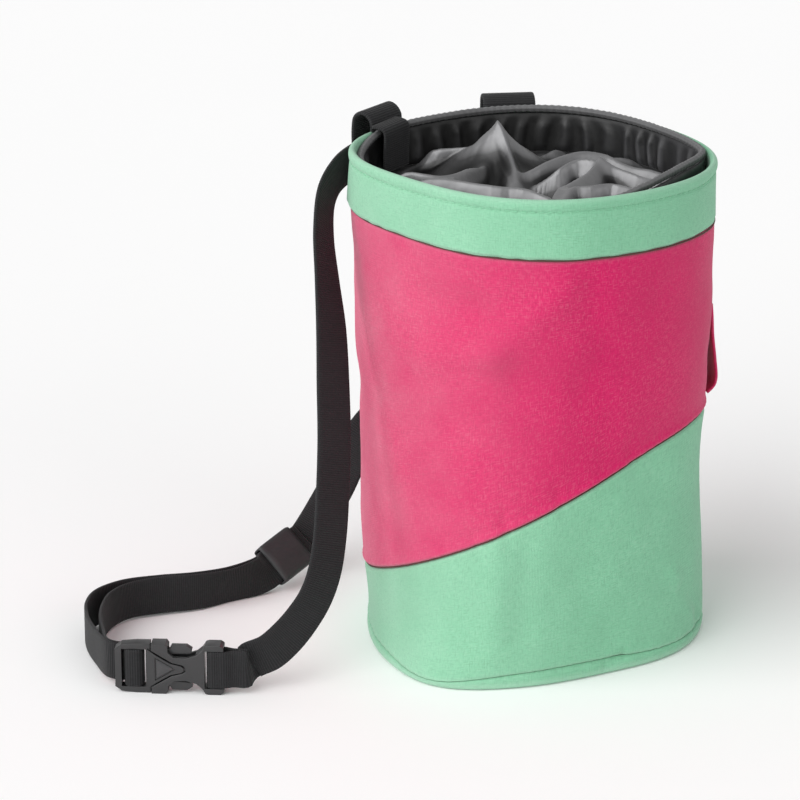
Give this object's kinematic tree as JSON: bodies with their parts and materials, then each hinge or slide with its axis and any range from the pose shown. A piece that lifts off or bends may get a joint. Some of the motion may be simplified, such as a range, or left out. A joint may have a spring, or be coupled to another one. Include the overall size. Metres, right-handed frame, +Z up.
{
  "type": "climbing chalk bag",
  "caption": "Round cloth chalk bag with a crumpled nylon closure inside its rim, webbing loops, and a waist belt with keeper and side release buckle.",
  "frame": {"origin": "middle of the bag's flat base, on the surface that it stands on", "axes": "+Z up out of the mouth, +X to the bag's right as the picture shows it, +Y away from the front"},
  "size_m": [0.2468, 0.163, 0.1997],
  "materials": {
    "mint_cloth": "finely woven melange cloth, matte",
    "pink_cloth": "finely woven melange cloth, matte",
    "dark_nylon": "gathered nylon lining, slight sheen",
    "piping": "rolled binding, matte",
    "grey_nylon": "smooth nylon taffeta, satin sheen",
    "black_webbing": "ribbed polyester webbing, matte",
    "buckle_plastic": "moulded satin plastic",
    "keeper_rubber": "smooth matte sleeve"
  },
  "bodies": {
    "root": {"base_panel": "mint_cloth", "lower_panel": "mint_cloth", "middle_panel": "pink_cloth", "rim_band": "mint_cloth", "collar_wall": "dark_nylon", "collar_piping": "piping", "closure_skirt": "grey_nylon", "collar_tab": "black_webbing", "belt_loop_left": "black_webbing", "belt_loop_back": "black_webbing", "side_loop": "pink_cloth", "buckle_plug": "buckle_plastic", "buckle_socket": "buckle_plastic", "belt_webbing": "black_webbing", "strap_keeper": "keeper_rubber"}
  },
  "joints": []
}
